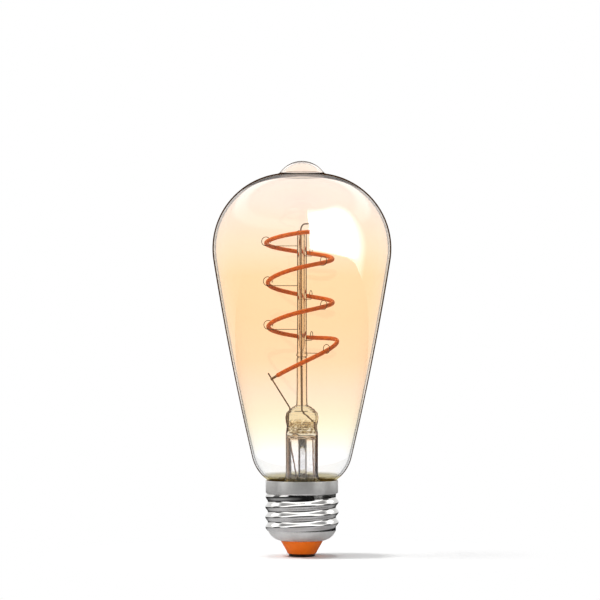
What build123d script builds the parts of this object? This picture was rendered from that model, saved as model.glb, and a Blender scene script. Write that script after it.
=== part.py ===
from build123d import *
import os
from math import cos, radians, sin, tan

os.makedirs("parts", exist_ok=True)

# Filament lamp on a 27 mm screw cap. Origin at the centre of the contact's outer face,
# +Z up along the axis, -Y towards the front, where the coil crosses in front of the stem.

# ---- Overall sizes ----
bulb_length = 141.3  # contact face to the tip of the glass
globe_radius = 32.0  # glass at its widest

# ---- Glass envelope ----
glass_wall = 0.7
shoulder_radius = 27.0
shoulder_sweep = 99.1  # degrees of shoulder arc, from straight up to where the flank starts
tip_rise = 4.3  # tip above the top of the shoulder arc
tip_radius = 9.5
tip_blend = 2.2  # hollow curve between tip and shoulder
heel_radial = 17.8  # end of the flank
heel_height = 35.5
neck_flare = 0.55  # foot of the heel beyond the straight neck
neck_flare_rise = 0.4  # above the collar
neck_flare_drop = 0.2  # below the collar's edge, where the neck is straight

# ---- Screw cap, the 27 mm standard ----
thread_crest_radius = 13.1
thread_root_radius = 12.15
thread_pitch = 3.629
thread_round = 1.025  # crest radius of the rolled thread
thread_flank = 60.0  # degrees of crest arc each side
thread_sink = 0.1  # how far a ridge is sunk into the wall it stands on
thread_turns = 3.0
thread_start = 10.4  # height of the ridge's lower end, on the left
cap_sheet = 0.3
collar_radius = 12.95
collar_height = 4.7
collar_edge = 0.55
cap_height = 27.2  # collar's top edge
cone_top = 9.3
cone_bottom = 5.7
cone_foot_radius = 7.9
cone_bulge = 0.7
cap_hole_radius = 7.0

# ---- Insulator and centre contact ----
insulator_top_radius = 7.6
insulator_foot_radius = 5.0
insulator_flange_radius = 7.5
insulator_flange = 1.4
insulator_recess_radius = 5.0
insulator_floor = 3.5
contact_radius = 4.7
contact_thickness = 1.0
contact_edge = 0.3
rivet_radius = 1.5
rivet_head_radius = 2.4
rivet_head = 0.5

# ---- Cement and clearances ----
cement_gap = 0.45  # between collar and neck
cement_height = 3.6
cement_drop = 0.3  # below the collar's edge
fit = 0.05  # loose fit between pieces that slip together
touch = 0.05  # gap left between a bent wire and what it holds

# ---- Glass stem ----
flare_radius = 5.75
flare_wall = 1.0
flare_rim_height = 23.6  # underside of the rim
flare_bend = 5.2
flare_top = 44.0
press_width = 11.8
press_depth = 7.0
press_waist = 10.9
press_widest_height = 49.6
press_shoulder = 2.6  # above the flare tube, where the squeezed part starts
press_shoulder_depth = 8.4
press_crown = 1.6  # below the top, where the bulge rounds over
press_crown_width = 9.2
press_crown_depth = 5.6
press_top = 54.0
press_top_width = 4.8
press_top_depth = 4.2
rod_radius = 1.9
rod_length = 17.3
pillar_radius = 1.725
pillar_bore_radius = 0.72
pillar_taper = 4.0
pillar_floor = 1.0  # solid glass under the pillar's bore
pillar_tip_gap = 24.8  # tip of the glass down to the pillar's top
exhaust_radius = 1.5
exhaust_wall = 0.4
exhaust_foot = 21.6
exhaust_offset = 0.2
exhaust_round = 1.35
exhaust_blend = 0.6  # tube's top below the top of the flare tube

# ---- Filament ----
coil_radius = 12.0
coil_centre = -0.4  # the coil hangs slightly to the left of the axis
coat_radius = 0.775
strip_width = 0.9
strip_thickness = 0.2
chip_length = 0.7
chip_width = 0.5
chip_thickness = 0.15
chip_count = 64
chip_gap = 0.02  # bond line under a chip
chip_margin = 1.6  # coat beyond the last chip
coil_tip_gap = 25.9  # tip of the glass down to the coil's first front crossing
coil_press_gap = 15.2  # top of the press up to its last front crossing
coil_start = -0.1  # turns before the first front crossing
coil_end = 3.12
# Drop below the first front crossing at each quarter turn, from a quarter turn before it.
coil_drops = [-1.2, 0.0, 3.5, 6.5, 9.1, 12.2, 17.7, 21.9, 24.6, 28.0, 33.3, 37.0, 38.5, 46.2, 57.5]
# How far the hand-wound coil strays from its radius at the same quarter turns.
coil_strays = [-0.7, -0.2, 0.4, 0.0, -0.7, -0.4, -0.2, -0.3, -0.6, -0.4, -0.4, 0.3, 1.0, 0.6, 0.1]
terminal_length = 3.2
upper_weld_share = 0.6  # along the terminal, where the upper lead is welded

# ---- Wires ----
hook_wire_radius = 0.13
hook_ring_radius = 1.6
hook_ring_sweep = 290.0
hook_root = 0.6  # wire sunk into the stem's glass
hook_turns = [0.25, 0.551, 0.875]  # left, back right and front right in each turn
hook_rows = 3
lead_radius = 0.26
seal_radius = 0.3
upper_lead_bends = [0.8, 2.2, 2.0, 0.6]  # beside the weld, over the pillar, in the press, at the seal
upper_lead_rise = 2.3  # above the pillar's top
upper_lead_lean = 0.4  # to the left in the bore, where it rests on the glass
lower_lead_tail = 1.9  # past the terminal
lower_lead_bend = 1.0
lower_lead_entry = 0.9  # below the top of the press
anchor_radius = 0.2
anchor_length = 4.1
anchor_left = -2.3  # its left end
anchor_depth = 2.6  # below the top of the press
seal_left = -4.3
seal_right = 3.9
seal_depth = 6.6  # upper ends below the top of the press
seal_lift = 0.6  # lower ends above the flare tube
seal_straight = 0.5  # upper lead above its seal
lead_turn_depth = 2.4  # below the top of the press, where the upper lead turns to its seal
outer_lead_bends = [2.0, 4.0, 0.8]

# ---- Wiring inside the cap ----
contact_lead_depth = 2.4  # lead sunk into the rivet
contact_pad = 1.5
contact_lead_bends = [0.6, 0.5]
contact_lead_drops = (1.2, 0.3)  # its two bends below the board
pad_length = 1.8  # wire lying along the board
lead_pad = 5.6
lead_straight = 2.4  # lead below the seals before it slants
lead_slants = (0.45, 1.05)  # share of their spacing that the outer leads keep at the flare's mouth
lead_spread = 1.6  # their distance from the middle plane there, against that at the board
lead_mouth_drop = 1.0
lead_board_rise = 1.2
shell_pad = 7.1
shell_lead_rise = 0.9
shell_lead_drop = 0.6
shell_lead_bend = 0.8
solder_radius = 0.7
solder_height = 0.45
solder_taper = 18.0

# ---- Driver, the most likely contents of the closed cap ----
board_width = 16.0
board_height = 12.6
board_thickness = 1.0
board_corner = 0.6
board_foot = 7.8
through_hole_radius = 0.32
sleeve_wall = 0.3
sleeve_overlap = 0.5  # sleeve above and below the board
can_radius = 3.15
can_length = 9.0
can_round = 0.5
can_groove = 0.25
can_place = (-2.6, 10.3)  # across the board, and the height of its foot
can_lead_spacing = 2.5
can_lead_drop = 1.1
drum_radius = 2.6
drum_core_radius = 1.2
drum_flange = 0.7
drum_length = 4.4
drum_place = (3.2, 11.0)
winding_radius = 2.3
rectifier_size = (3.9, 4.7, 2.4)  # across the legs, along them, height
rectifier_place = (-4.6, 11.0)
rectifier_leg_pitch = 2.5
rectifier_leg_width = 0.7
controller_size = (1.6, 2.9, 1.1)
controller_place = (2.6, 12.6)
controller_leg_pitch = 0.95
controller_leg_width = 0.4
chip_draft = 4.0
leg_thickness = 0.16
leg_height = 0.45  # share of a package's height where its legs leave it
leg_bend = 0.5
fuse_radius = 1.1
fuse_length = 5.6
fuse_lead_radius = 0.28
fuse_place = (5.9, 12.4)
fuse_lead_reach = 1.0
radio_size = (9.4, 5.6, 0.8)  # across, up, thickness
radio_place = (0.0, 17.2)
shield_size = (5.4, 4.4, 1.3)
shield_wall = 0.2
shield_shift = -1.5
antenna_trace = 0.35
antenna_thickness = 0.12
antenna_runs = 4
antenna_width = 1.9
antenna_gap = 0.15

# ---- Sizes worked out from the ones above ----
shoulder_centre = globe_radius - shoulder_radius
shoulder_height = bulb_length - tip_rise - shoulder_radius
collar_bottom = cap_height - collar_height
neck_radius = collar_radius - cap_sheet - cement_gap
neck_bore_radius = neck_radius - glass_wall
pillar_top = bulb_length - pillar_tip_gap
rod_top = press_top + rod_length
coil_top = bulb_length - coil_tip_gap
coil_foot = press_top + coil_press_gap
coil_stretch = (coil_top - coil_foot) / coil_drops[-2]
board_front = -board_thickness / 2
wire_lift = lead_radius + fit  # centre of a wire that lies along the board
board_back = board_thickness / 2
board_middle = board_foot + board_height / 2
board_top = board_foot + board_height
flare_straight = flare_rim_height + flare_bend
can_holes = [
    (can_place[0] + side * can_lead_spacing / 2, can_place[1] - can_lead_drop) for side in (-1, 1)
]
fuse_holes = [
    (fuse_place[0], fuse_place[1] + side * (fuse_length / 2 + fuse_lead_reach)) for side in (-1, 1)
]
sleeve_radius = (board_width**2 + board_thickness**2) ** 0.5 / 2 + fit + sleeve_wall


def between_quarters(values, turn):
    """A value at any turn, smooth through its list of quarter-turn values."""
    place = 4 * turn + 1
    first = min(max(int(place), 1), len(values) - 3)
    share = place - first
    before, start, end, after = values[first - 1 : first + 3]
    slope_in = (end - before) / 2
    slope_out = (after - start) / 2
    bend = 2 * (start - end) + slope_in + slope_out
    curve = 3 * (end - start) - 2 * slope_in - slope_out
    return start + slope_in * share + curve * share**2 + bend * share**3


def coil_point(turn):
    """A point of the coil's centre line."""
    angle = radians(-90 - 360 * turn)
    radius = coil_radius + between_quarters(coil_strays, turn)
    height = coil_top - coil_stretch * between_quarters(coil_drops, turn)
    return Vector(coil_centre + radius * cos(angle), radius * sin(angle), height)


def round_wire(route, bend, radius):
    """A round wire along straight runs joined by tangent bends."""
    with BuildPart() as wire:
        with BuildLine() as path:
            if len(route) == 2:
                Line(*route)
            else:
                FilletPolyline(*route, radius=bend)
        with BuildSketch(Plane(origin=path.line @ 0, z_dir=path.line % 0)):
            Circle(radius)
        sweep(path=path.line)
    return wire.part


def hook_wire(turn):
    """A support wire: out from the stem, then round the filament in an open ring."""
    at = coil_point(turn)
    outward = Vector(at.X, at.Y, 0)
    reach = outward.length
    lift = hook_ring_radius - coat_radius - hook_wire_radius - touch
    across = outward.cross(Vector(0, 0, 1))
    plane = Plane(origin=(0, 0, at.Z + lift), x_dir=outward.normalized(), z_dir=across)
    with BuildPart() as hook:
        with BuildLine(plane) as path:
            Line((pillar_radius - hook_root, -hook_ring_radius), (reach, -hook_ring_radius))
            CenterArc((reach, 0), hook_ring_radius, -90, hook_ring_sweep)
        with BuildSketch(Plane(origin=path.line @ 0, z_dir=path.line % 0)):
            Circle(hook_wire_radius)
        sweep(path=path.line)
    return hook.part


# ---- Filament: strip, chips, coat and terminals ----
coil_steps = 26
coil_turns = [coil_start + (coil_end - coil_start) * step / coil_steps for step in range(coil_steps + 1)]
with BuildLine() as coil_line:
    Spline(*[coil_point(turn) for turn in coil_turns])
coil = coil_line.line.edge()


def coil_plane(share):
    """Plane across the coil: its X points away from the axis, its Y along the strip's width."""
    frame = Plane(coil.location_at(share, frame_method=FrameMethod.FRENET))
    place = coil @ share
    outward = Vector(place.X - coil_centre, place.Y, 0)
    side = max((frame.x_dir, -frame.x_dir, frame.y_dir, -frame.y_dir), key=outward.dot)
    return Plane(origin=place, x_dir=side, z_dir=coil % share)


def coil_sweep(section):
    """Sweep a section, drawn across the coil's upper end, along the whole coil."""
    with BuildPart() as swept:
        add(section.sketch)
        sweep(path=coil, is_frenet=True)
    return swept.part


with BuildSketch(coil_plane(0)) as strip_section:
    Rectangle(strip_thickness, strip_width)

with BuildPart() as filament_strip:
    add(coil_sweep(strip_section))

chip_offset = (strip_thickness + chip_thickness) / 2 + chip_gap
chip_shares = [
    (chip_margin + (coil.length - 2 * chip_margin) * chip / (chip_count - 1)) / coil.length
    for chip in range(chip_count)
]
with BuildPart() as led_chips:
    with Locations(*[coil_plane(share).location for share in chip_shares]):
        with Locations((chip_offset, 0, 0)):
            Box(chip_thickness, chip_width, chip_length)

channel_depth = strip_thickness + chip_thickness + 2 * fit + chip_gap
with BuildSketch(coil_plane(0)) as coat_section:
    Circle(coat_radius)
    with Locations((chip_thickness / 2, 0)):
        Rectangle(channel_depth, strip_width, mode=Mode.SUBTRACT)

with BuildPart() as filament_coat:
    add(coil_sweep(coat_section))

# Metal tabs welded under the strip's two ends, running on straight out of the coat.
welds = []
with BuildPart() as filament_terminals:
    for share, way, weld_share in ((0, -1, upper_weld_share), (1, 1, 1)):
        across = coil_plane(share)
        welds.append(across.origin + across.z_dir * way * terminal_length * weld_share)
        with BuildSketch(across):
            Rectangle(strip_thickness, strip_width)
        extrude(amount=terminal_length * way)

# ---- Wires of the mount ----
with BuildPart() as support_wires:
    for row in range(hook_rows):
        for turn in hook_turns:
            add(hook_wire(row + turn))

# From the upper terminal over the top of the stem, down its bore and out to the right seal.
upper_weld = welds[0] + Vector(0, 0, strip_width / 2 + touch)
seal_top = press_top - seal_depth
seal_foot = flare_top + seal_lift
lead_crest = pillar_top + upper_lead_rise
upper_route = [
    upper_weld,
    Vector(upper_weld.X, upper_weld.Y, lead_crest),
    Vector(-upper_lead_lean, 0, lead_crest),
    Vector(0, 0, press_top - lead_turn_depth),
    Vector(seal_right, 0, seal_top + seal_straight),
    Vector(seal_right, 0, seal_top),
]
upper_lead_wire = round_wire(upper_route, upper_lead_bends, lead_radius)
with BuildPart() as upper_lead:
    add(upper_lead_wire)

# Straight from the left seal up past the lower terminal, which is welded to its side.
lower_weld = welds[1] + Vector(0, 0, strip_width / 2 + lead_radius + touch)
lower_foot = Vector(seal_left, 0, press_top - lower_lead_entry)
lower_run = (lower_weld - lower_foot).normalized()
lower_route = [lower_weld + lower_run * lower_lead_tail, lower_foot, Vector(seal_left, 0, seal_top)]
lower_lead_wire = round_wire(lower_route, [lower_lead_bend], lead_radius)
with BuildPart() as lower_lead:
    add(lower_lead_wire)

# A short bar welded across the back of the upper lead keeps it from turning in the glass.
with BuildPart() as lead_anchor:
    with BuildSketch(Plane.YZ.offset(anchor_left)):
        with Locations((lead_radius + anchor_radius + touch, press_top - anchor_depth)):
            Circle(anchor_radius)
    extrude(amount=anchor_length)

with BuildPart() as seal_wires:
    with BuildSketch(Plane.XY.offset(seal_foot)):
        with Locations((seal_left, 0), (seal_right, 0)):
            Circle(seal_radius)
    extrude(amount=seal_top - seal_foot)

# From the seals down through the flare to the board.
outer_wires = []
for side, slant, pad, face in (
    (seal_left, lead_slants[0], -lead_pad, board_back),
    (seal_right, lead_slants[1], lead_pad, board_front),
):
    lane = face + (wire_lift if face > 0 else -wire_lift)
    outer_wires.append(
        round_wire(
            [
                Vector(side, 0, seal_foot),
                Vector(side, 0, flare_top - lead_straight),
                Vector(side * slant, lane * lead_spread, flare_straight - lead_mouth_drop),
                Vector(pad, lane, board_top + lead_board_rise),
                Vector(pad, lane, board_top - pad_length),
            ],
            outer_lead_bends,
            lead_radius,
        )
    )
with BuildPart() as outer_leads:
    for wire in outer_wires:
        add(wire)

# ---- Stem: flare with its pressed top, rod, pillar and exhaust tube ----
exhaust_top = flare_top - exhaust_blend
with BuildPart() as exhaust_tube:
    with BuildSketch(Plane.XY.offset(exhaust_foot)):
        with Locations((exhaust_offset, 0)):
            Circle(exhaust_radius)
    extrude(amount=exhaust_top - exhaust_foot)
    fillet(exhaust_tube.faces().sort_by(Axis.Z)[0].edges(), exhaust_round)
    with BuildSketch(Plane.XY.offset(exhaust_foot + exhaust_radius)):
        with Locations((exhaust_offset, 0)):
            Circle(exhaust_radius - exhaust_wall)
    extrude(amount=exhaust_top - exhaust_foot - exhaust_radius, mode=Mode.SUBTRACT)

flare_bore_radius = flare_radius - flare_wall
with BuildPart() as stem_flare:
    with BuildSketch(Plane.XZ):
        with BuildLine():
            outside = Line((flare_radius, flare_top), (flare_radius, flare_straight + flare_wall))
            rim_top = (neck_bore_radius, flare_rim_height + flare_wall)
            rim = TangentArc(outside @ 1, rim_top, tangent=(0, -1))
            edge = Line(rim @ 1, (neck_bore_radius, flare_rim_height))
            bend = TangentArc((flare_bore_radius, flare_straight), edge @ 1, tangent=(0, -1))
            inside = Line(bend @ 0, (flare_bore_radius, exhaust_top))
            Polyline(inside @ 1, (0, exhaust_top), (0, flare_top), outside @ 0)
        make_face()
    revolve(axis=Axis.Z)
    # The pressed top: round where it leaves the tube, squeezed flat and bulging round the seals.
    for height, width, depth in (
        (flare_top, 2 * flare_radius, 2 * flare_radius),
        (flare_top + press_shoulder, press_waist, press_shoulder_depth),
        (press_widest_height, press_width, press_depth),
        (press_top - press_crown, press_crown_width, press_crown_depth),
        (press_top, press_top_width, press_top_depth),
    ):
        with BuildSketch(Plane.XY.offset(height)):
            Ellipse(width / 2, depth / 2)
    loft()
    for wire in (upper_lead, lower_lead, lead_anchor, seal_wires, outer_leads):
        add(wire.part, mode=Mode.SUBTRACT)

with BuildPart() as stem_rod:
    with BuildSketch(Plane.XY.offset(press_top)):
        Circle(rod_radius)
    extrude(amount=rod_length)
    add(upper_lead.part, mode=Mode.SUBTRACT)

with BuildPart() as stem_pillar:
    with BuildSketch(Plane.XZ):
        with BuildLine():
            Polyline(
                (0, rod_top),
                (pillar_radius, rod_top),
                (pillar_radius, pillar_top),
                (pillar_bore_radius, pillar_top),
                (pillar_bore_radius, rod_top + pillar_taper),
                (lead_radius, rod_top + pillar_floor),
                (0, rod_top + pillar_floor),
                close=True,
            )
        make_face()
    revolve(axis=Axis.Z)
    for wire in (upper_lead, support_wires):
        add(wire.part, mode=Mode.SUBTRACT)

# ---- Glass envelope ----
tip_centre = Vector(0, bulb_length - tip_radius)
shoulder_middle = Vector(shoulder_centre, shoulder_height)
span = shoulder_middle - tip_centre
along = (tip_radius**2 - shoulder_radius**2 + span.length**2) / (2 * span.length)
aside = (tip_radius**2 - along**2) ** 0.5
tip_corner = tip_centre + span.normalized() * along + Vector(-span.Y, span.X).normalized() * aside
shoulder_turn = radians(shoulder_sweep - 90)
shoulder_foot = shoulder_middle + Vector(cos(shoulder_turn), -sin(shoulder_turn)) * shoulder_radius
with BuildPart() as glass_envelope:
    with BuildSketch(Plane.XZ) as envelope_section:
        with BuildLine():
            # Tip arc and shoulder arc meet in a corner, hollowed out by a blend below.
            tip = RadiusArc((0, bulb_length), tip_corner, tip_radius)
            shoulder = RadiusArc(tip @ 1, shoulder_foot, shoulder_radius)
            flank = TangentArc(shoulder @ 1, (heel_radial, heel_height), tangent=shoulder % 1)
            heel_foot = (neck_radius + neck_flare, cap_height + neck_flare_rise)
            heel = TangentArc(flank @ 1, heel_foot, tangent=flank % 1)
            neck = Line(heel @ 1, (neck_radius, cap_height - neck_flare_drop))
            Polyline(neck @ 1, (neck_radius, flare_rim_height), (0, flare_rim_height), tip @ 0)
        make_face()
        fillet(envelope_section.vertices().sort_by_distance(tip_corner)[0], tip_blend)
    revolve(axis=Axis.Z)
    offset(amount=-glass_wall, openings=glass_envelope.faces().sort_by(Axis.Z)[0])

# ---- Screw cap: collar, rolled thread and coned end in one sheet ----
thread_height = thread_pitch * thread_turns


def thread_ridge(root_radius, crest_round):
    """A helical ridge whose crest keeps one centre, so that two of them make a rolled sheet."""
    crest_centre = thread_crest_radius - thread_round
    flank = radians(thread_flank)
    crest_half = crest_round * sin(flank)
    crest_edge = crest_centre + crest_round * cos(flank) - root_radius
    foot_half = crest_half + (crest_edge + thread_sink) / tan(flank)
    with BuildPart() as ridge:
        with BuildLine() as path:
            Helix(thread_pitch, thread_height, root_radius, center=(0, 0, thread_start))
        start = path.line @ 0
        with BuildSketch(Plane(origin=start, x_dir=(1, 0, 0), z_dir=path.line % 0)):
            with BuildLine():
                crest = ThreePointArc(
                    (crest_edge, -crest_half),
                    (crest_centre + crest_round - root_radius, 0),
                    (crest_edge, crest_half),
                )
                Polyline(crest @ 1, (-thread_sink, foot_half), (-thread_sink, -foot_half), crest @ 0)
            make_face()
        sweep(path=path.line, is_frenet=True)
    return ridge.part.rotate(Axis.Z, 180)


outer_ridge = thread_ridge(thread_root_radius, thread_round)
inner_ridge = thread_ridge(thread_root_radius - cap_sheet, thread_round - cap_sheet)
with BuildPart() as cap_shell:
    with BuildSketch(Plane.XZ) as shell_section:
        with BuildLine():
            Polyline(
                (0, cap_height),
                (collar_radius, cap_height),
                (collar_radius, collar_bottom),
                (thread_root_radius, collar_bottom),
                (thread_root_radius, cone_top),
            )
            SagittaArc((thread_root_radius, cone_top), (cone_foot_radius, cone_bottom), -cone_bulge)
            Polyline((cone_foot_radius, cone_bottom), (0, cone_bottom), (0, cap_height))
        make_face()
        lower_edge = shell_section.vertices().sort_by_distance((collar_radius, 0, collar_bottom))[0]
        fillet(lower_edge, collar_edge)
    revolve(axis=Axis.Z)
    offset(amount=-cap_sheet, openings=cap_shell.faces().sort_by(Axis.Z)[-1])
    add(outer_ridge)
    add(inner_ridge, mode=Mode.SUBTRACT)
    with BuildSketch(Plane.XY.offset(cone_bottom)):
        Circle(cap_hole_radius)
    extrude(amount=2 * cap_sheet, mode=Mode.SUBTRACT)

with BuildPart() as cap_cement:
    with BuildSketch(Plane.XY.offset(cap_height - cement_drop - cement_height)):
        Circle(collar_radius - cap_sheet)
        Circle(neck_radius, mode=Mode.SUBTRACT)
    extrude(amount=cement_height)

# ---- Insulator and centre contact ----
flange_foot = cone_bottom + cap_sheet
insulator_top = flange_foot + insulator_flange
with BuildPart() as cap_insulator:
    with BuildSketch(Plane.XZ):
        with BuildLine():
            Polyline(
                (rivet_radius, contact_thickness),
                (insulator_foot_radius, contact_thickness),
                (insulator_top_radius, cone_bottom),
                (cap_hole_radius, cone_bottom),
                (cap_hole_radius, flange_foot),
                (insulator_flange_radius, flange_foot),
                (insulator_flange_radius, insulator_top),
                (insulator_recess_radius, insulator_top),
                (insulator_recess_radius, insulator_floor),
                (rivet_radius, insulator_floor),
                close=True,
            )
        make_face()
    revolve(axis=Axis.Z)

with BuildPart() as centre_contact:
    with BuildSketch():
        Circle(contact_radius)
    extrude(amount=contact_thickness)
    fillet(centre_contact.faces().sort_by(Axis.Z)[0].edges(), contact_edge)
    with BuildSketch(Plane.XY.offset(contact_thickness)):
        Circle(rivet_radius)
    extrude(amount=insulator_floor - contact_thickness)
    with BuildSketch(Plane.XY.offset(insulator_floor)):
        Circle(rivet_head_radius)
    extrude(amount=rivet_head)
    with BuildSketch(Plane.XY.offset(insulator_floor + rivet_head)):
        Circle(lead_radius + fit)
    extrude(amount=-contact_lead_depth, mode=Mode.SUBTRACT)

# ---- Wires between cap, driver and stem ----
contact_route = [
    Vector(0, 0, insulator_floor + rivet_head - contact_lead_depth),
    Vector(0, 0, board_foot - contact_lead_drops[0]),
    Vector(contact_pad, board_front - wire_lift, board_foot - contact_lead_drops[1]),
    Vector(contact_pad, board_front - wire_lift, board_foot + pad_length),
]
contact_wire = round_wire(contact_route, contact_lead_bends, lead_radius)
with BuildPart() as contact_lead:
    add(contact_wire)

shell_wall = thread_root_radius - cap_sheet
shell_reach = shell_wall - 2 * lead_radius
shell_route = [
    Vector(-shell_pad, board_back + wire_lift, board_top - pad_length),
    Vector(-shell_pad, board_back + wire_lift, board_top + shell_lead_rise),
    Vector(-shell_reach, board_back + wire_lift, board_top + shell_lead_rise),
    Vector(-shell_reach, board_back + wire_lift, board_top - shell_lead_drop),
]
shell_wire = round_wire(shell_route, [shell_lead_bend, shell_lead_bend], lead_radius)
with BuildPart() as shell_lead:
    add(shell_wire)

# ---- Driver: board, sleeve and components ----
with BuildPart() as driver_board:
    with BuildSketch(Plane.XZ.offset(-board_back)):
        with Locations((0, board_middle)):
            RectangleRounded(board_width, board_height, board_corner)
    extrude(amount=board_thickness)
    with Locations(*[Location((x, 0, z), (90, 0, 0)) for x, z in can_holes + fuse_holes]):
        Cylinder(through_hole_radius, 2 * board_thickness, mode=Mode.SUBTRACT)

with BuildPart() as driver_sleeve:
    with BuildSketch(Plane.XY.offset(board_foot - sleeve_overlap)):
        Circle(sleeve_radius)
        Circle(sleeve_radius - sleeve_wall, mode=Mode.SUBTRACT)
    extrude(amount=board_height + 2 * sleeve_overlap)


def board_face(place, side):
    """Plane on the board's front (-1) or back (1) face, its Y up and its Z out of the board."""
    middle = (place[0], side * board_thickness / 2, place[1])
    return Plane(origin=middle, x_dir=(-side, 0, 0), z_dir=(0, side, 0))


def leaded_chip(size, legs, leg_pitch, leg_width):
    """A moulded package on the XY plane, with bent legs out along X."""
    across, along, height = size
    reach = 3 * leg_thickness
    shoulder = height * leg_height
    with BuildPart() as chip:
        with BuildSketch(Plane.XY.offset(leg_thickness / 2)):
            Rectangle(across, along)
        extrude(amount=height - leg_thickness / 2, taper=chip_draft)
        for leg in range(legs):
            row = (leg - (legs - 1) / 2) * leg_pitch
            with BuildSketch(Plane.XZ.offset(row)):
                with BuildLine():
                    Polyline(
                        (across / 2 - 2 * leg_thickness, shoulder),
                        (across / 2 + reach / 2, shoulder),
                        (across / 2 + reach / 2, leg_thickness / 2),
                        (across / 2 + reach / 2 + reach, leg_thickness / 2),
                    )
                trace(line_width=leg_thickness)
            extrude(amount=leg_width / 2, both=True)
        mirror(about=Plane.YZ)
    return chip.part


rectifier_chip = leaded_chip(rectifier_size, 2, rectifier_leg_pitch, rectifier_leg_width)
with BuildPart() as bridge_rectifier:
    add(rectifier_chip.moved(board_face(rectifier_place, 1).location))

controller_chip = leaded_chip(controller_size, 3, controller_leg_pitch, controller_leg_width)
with BuildPart() as driver_controller:
    add(controller_chip.moved(board_face(controller_place, -1).location))

# The can lies along the board's front face; its legs bend back through the board.
can_depth = board_front - can_radius - fit
can_legs = [
    round_wire(
        [
            Vector(x, can_depth, can_place[1] + can_groove),
            Vector(x, can_depth, z),
            Vector(x, board_back, z),
        ],
        [leg_bend],
        through_hole_radius - fit,
    )
    for x, z in can_holes
]
with BuildPart() as bulk_capacitor:
    with BuildSketch(Plane.XY.offset(can_place[1])):
        with Locations((can_place[0], can_depth)):
            Circle(can_radius)
    extrude(amount=can_length)
    fillet(bulk_capacitor.edges().filter_by(GeomType.CIRCLE), can_round)
    with BuildSketch(Plane.XY.offset(can_place[1] + 3 * can_round)):
        with Locations((can_place[0], can_depth)):
            Circle(can_radius)
            Circle(can_radius - can_groove, mode=Mode.SUBTRACT)
    extrude(amount=can_round, mode=Mode.SUBTRACT)
    for leg in can_legs:
        add(leg)

fuse_depth = board_front - fuse_radius - fit
fuse_legs = [
    round_wire(
        [
            Vector(x, fuse_depth, fuse_place[1]),
            Vector(x, fuse_depth, z),
            Vector(x, board_back, z),
        ],
        [leg_bend],
        fuse_lead_radius,
    )
    for x, z in fuse_holes
]
with BuildPart() as fusible_resistor:
    with BuildSketch(Plane.XY.offset(fuse_place[1] - fuse_length / 2)):
        with Locations((fuse_place[0], fuse_depth)):
            Circle(fuse_radius)
    extrude(amount=fuse_length)
    fillet(fusible_resistor.edges().filter_by(GeomType.CIRCLE), fuse_radius / 2)
    for leg in fuse_legs:
        add(leg)

with BuildPart() as inductor_core:
    with BuildSketch(board_face(drum_place, 1)):
        Circle(drum_radius)
    extrude(amount=drum_flange)
    with BuildSketch(board_face(drum_place, 1).offset(drum_flange)):
        Circle(drum_core_radius)
    extrude(amount=drum_length - 2 * drum_flange)
    with BuildSketch(board_face(drum_place, 1).offset(drum_length - drum_flange)):
        Circle(drum_radius)
    extrude(amount=drum_flange)

with BuildPart() as inductor_winding:
    with BuildSketch(board_face(drum_place, 1).offset(drum_flange)):
        Circle(winding_radius)
        Circle(drum_core_radius, mode=Mode.SUBTRACT)
    extrude(amount=drum_length - 2 * drum_flange)

radio_face = board_face(radio_place, 1)
with BuildPart() as radio_board:
    with BuildSketch(radio_face):
        Rectangle(radio_size[0], radio_size[1])
    extrude(amount=radio_size[2])

with BuildPart() as radio_shield:
    with BuildSketch(radio_face.offset(radio_size[2])):
        with Locations((-shield_shift, 0)):
            Rectangle(shield_size[0], shield_size[1])
    extrude(amount=shield_size[2])
    offset(amount=-shield_wall, openings=radio_shield.faces().sort_by(Axis.Y)[0])

# A folded strip aerial beside the shield.
antenna_pitch = 2 * antenna_trace + antenna_gap
with BuildPart() as radio_antenna:
    with BuildSketch(radio_face.offset(radio_size[2])):
        with BuildLine():
            start = Vector(-radio_size[0] / 2 + antenna_trace, -antenna_pitch * antenna_runs / 2)
            zigzag = [start]
            for run in range(antenna_runs):
                far = antenna_width if run % 2 == 0 else 0
                height = start.Y + run * antenna_pitch
                zigzag.append(Vector(start.X + far, height))
                zigzag.append(Vector(start.X + far, height + antenna_pitch))
            Polyline(*zigzag)
        trace(line_width=antenna_trace)
    extrude(amount=antenna_thickness)


def solder_pool(place, side):
    """A low cone of solder over a wire that lies on the board's face."""
    with BuildPart() as pool:
        with BuildSketch(board_face(place, side)):
            Circle(solder_radius)
        extrude(amount=solder_height, taper=solder_taper)
    return pool.part


wire_end = board_top - pad_length
solder_pools = [
    solder_pool((-lead_pad, wire_end), 1),
    solder_pool((lead_pad, wire_end), -1),
    solder_pool((-shell_pad, wire_end), 1),
    solder_pool((contact_pad, board_foot + pad_length), -1),
]
with BuildPart() as solder_joints:
    # The one that ties the outer wire to the shell's wall.
    with BuildSketch(Plane.YZ.offset(-shell_wall - solder_radius)):
        with Locations((board_back + wire_lift, board_top - shell_lead_drop)):
            Circle(solder_radius)
    extrude(amount=2 * solder_radius)
    with BuildSketch(Plane.XY.offset(board_foot)):
        Circle(shell_wall)
    extrude(amount=cap_height - board_foot, mode=Mode.INTERSECT)
    for pool in solder_pools:
        add(pool)
    for wire in (contact_lead, outer_leads, shell_lead):
        add(wire.part, mode=Mode.SUBTRACT)

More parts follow.
